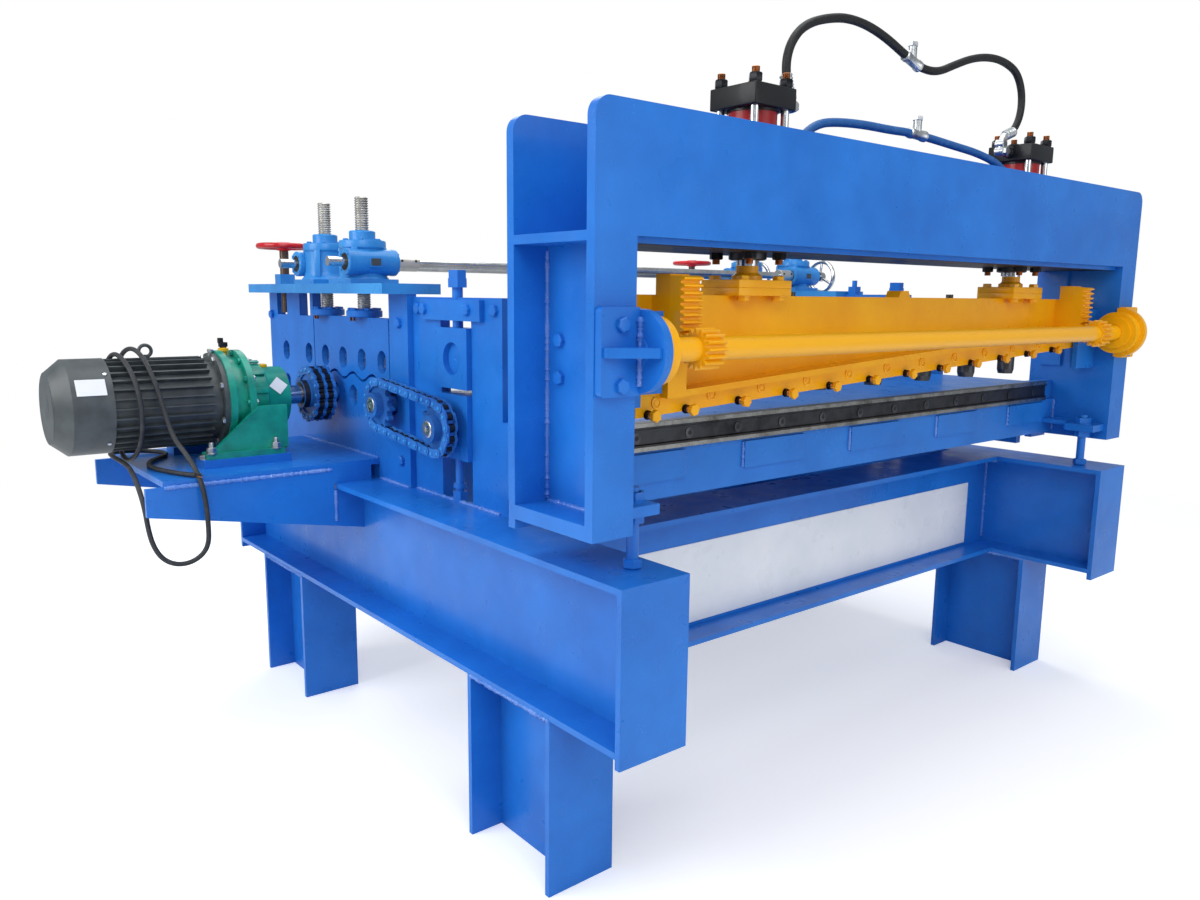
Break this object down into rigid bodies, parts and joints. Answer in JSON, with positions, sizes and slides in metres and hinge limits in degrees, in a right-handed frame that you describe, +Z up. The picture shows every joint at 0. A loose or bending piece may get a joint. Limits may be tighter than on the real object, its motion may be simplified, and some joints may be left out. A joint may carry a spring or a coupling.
{
  "type": "cut-to-length machine",
  "caption": "Sheet metal cut-to-length machine: roll leveller, pinch rolls and hydraulic guillotine on a welded beam base.",
  "frame": {"origin": "on the floor under the centre of the machine's bounding box", "axes": "+Z up, +X across the sheet away from the drive motor, +Y from the shear towards the leveller's entry"},
  "size_m": [2.558, 1.872, 1.7197],
  "materials": {
    "blue_paint": "gloss blue machine enamel",
    "yellow_paint": "gloss yellow enamel",
    "bare_steel": "machined steel, lightly oiled",
    "dark_steel": "black oxide and dark enamel",
    "seat_blue": "gloss blue enamel",
    "shaft_steel": "turned steel",
    "wheel_red": "gloss red enamel",
    "motor_grey": "dark grey enamel",
    "reducer_green": "gloss green enamel",
    "plate_white": "bare white enamel plate",
    "hose_black": "smooth rubber hose cover",
    "hose_blue": "painted rubber hose cover",
    "cable_grey": "rubber cable sheath"
  },
  "bodies": {
    "frame": {"base_bars": "blue_paint", "chain_coupling": "dark_steel", "cross_beam_front": "blue_paint", "cross_beam_rear": "blue_paint", "cylinder_deck": "blue_paint", "cylinder_left": "dark_steel", "cylinder_right": "dark_steel", "drive_chain": "dark_steel", "drive_sprockets": "bare_steel", "hose_black": "hose_black", "hose_blue": "hose_blue", "jack_station_left": "blue_paint", "jack_station_right": "blue_paint", "leveller_wall_left": "blue_paint", "leveller_wall_right": "blue_paint", "levelling_studs": "bare_steel", "lower_knife": "bare_steel", "lower_rolls": "bare_steel", "motor": "motor_grey", "motor_cable": "cable_grey", "motor_platform": "blue_paint", "name_plate": "plate_white", "pinch_blocks_left": "seat_blue", "pinch_blocks_right": "seat_blue", "pinch_rolls": "bare_steel", "pinch_wall_left": "blue_paint", "pinch_wall_right": "blue_paint", "portal_column_left": "blue_paint", "portal_column_right": "blue_paint", "portal_front_plate": "blue_paint", "portal_rear_plate": "blue_paint", "reducer": "reducer_green", "shaft_bearings": "yellow_paint", "shaft_bracket_left": "blue_paint", "shaft_bracket_right": "yellow_paint", "side_frame_left": "blue_paint", "side_frame_right": "blue_paint", "sill": "blue_paint"},
    "knife": {"knife_beam": "yellow_paint", "upper_knife": "bare_steel", "racks": "yellow_paint", "piston_rods": "bare_steel"},
    "press": {"hold_downs": "bare_steel"},
    "sync": {"sync_shaft": "yellow_paint"},
    "roll_lift": {"roll_seat_left": "seat_blue", "roll_seat_right": "seat_blue", "upper_rolls": "bare_steel", "jack_screws": "bare_steel"},
    "front_shaft": {"cross_shaft_front": "shaft_steel"},
    "rear_shaft": {"cross_shaft_rear": "shaft_steel"},
    "left_wheel": {"entry_wheel_left": "wheel_red"},
    "right_wheel": {"entry_wheel_right": "wheel_red"}
  },
  "joints": [
    {"name": "knife_slide", "type": "slide", "parent": "frame", "child": "knife", "axis": [0, 0, 1], "range_m": [-0.105, 0]},
    {"name": "hold_down", "type": "slide", "parent": "knife", "child": "press", "axis": [0, 0, 1], "range_m": [0, 0.078]},
    {"name": "sync_spin", "type": "hinge", "parent": "frame", "child": "sync", "pos_m": [0.266, -0.868, 1.04], "axis": [1, 0, 0], "range_deg": [-189, 0]},
    {"name": "roll_lift", "type": "slide", "parent": "frame", "child": "roll_lift", "axis": [0, 0, 1], "range_m": [0, 0.035]},
    {"name": "front_cross_shaft", "type": "hinge", "parent": "frame", "child": "front_shaft", "pos_m": [0.266, 0.254, 1.206], "axis": [1, 0, 0], "continuous": true},
    {"name": "rear_cross_shaft", "type": "hinge", "parent": "frame", "child": "rear_shaft", "pos_m": [0.266, 0.564, 1.206], "axis": [1, 0, 0], "continuous": true},
    {"name": "left_entry_wheel", "type": "hinge", "parent": "frame", "child": "left_wheel", "pos_m": [-0.5665, 0.825, 1.264], "axis": [0, 0, 1], "continuous": true},
    {"name": "right_entry_wheel", "type": "hinge", "parent": "frame", "child": "right_wheel", "pos_m": [1.154, 0.825, 1.264], "axis": [0, 0, 1], "continuous": true}
  ],
  "couplings": [
    {"joint": "hold_down", "follows": "knife_slide", "ratio": -0.74286},
    {"joint": "sync_spin", "follows": "knife_slide", "rad_per_m": 31.25}
  ]
}
